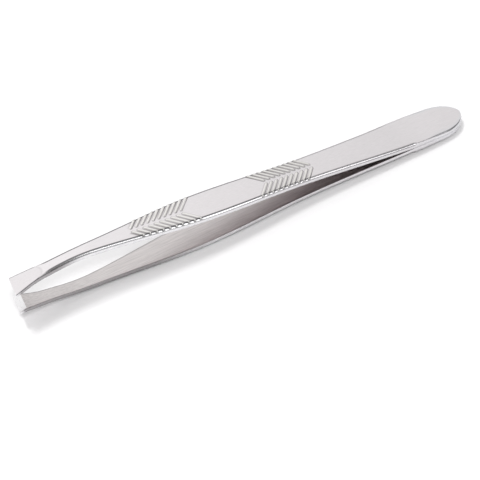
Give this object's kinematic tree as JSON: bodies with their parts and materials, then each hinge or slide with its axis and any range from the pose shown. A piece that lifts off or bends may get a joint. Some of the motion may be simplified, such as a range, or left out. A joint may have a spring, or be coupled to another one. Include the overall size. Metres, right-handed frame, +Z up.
{
  "type": "slant tweezers",
  "caption": "Sprung steel tweezers: two bowed arms with herringbone grips and flat ground tips, spot welded at a rounded tail.",
  "frame": {"origin": "on the bench, under the middle of the closed box round the tweezers as they lie on the lower arm's outer face", "axes": "+X from the tips to the tail, +Y across the arms, +Z up from the bench, so that the upper arm is above the lower arm"},
  "size_m": [0.0952, 0.0078, 0.0099],
  "materials": {
    "strip_steel": "fine lengthwise brushed, bevels polished",
    "weld_steel": "fused weld metal"
  },
  "bodies": {
    "tail": {"upper_tail": "strip_steel", "lower_tail": "strip_steel", "spot_welds": "weld_steel"},
    "upper_arm": {"upper_arm": "strip_steel"},
    "lower_arm": {"lower_arm": "strip_steel"}
  },
  "joints": [
    {"name": "upper_arm_flex", "type": "hinge", "parent": "tail", "child": "upper_arm", "pos_m": [0.03356, 0, 0.0018], "axis": [0, -1, 0], "range_deg": [0, 1.51], "stiffness_Nm_per_rad": 2.3},
    {"name": "lower_arm_flex", "type": "hinge", "parent": "tail", "child": "lower_arm", "pos_m": [0.03356, 0, 0.0017], "axis": [0, 1, 0], "range_deg": [0, 1.51], "stiffness_Nm_per_rad": 2.3}
  ],
  "couplings": [
    {"joint": "lower_arm_flex", "follows": "upper_arm_flex", "ratio": 1}
  ]
}
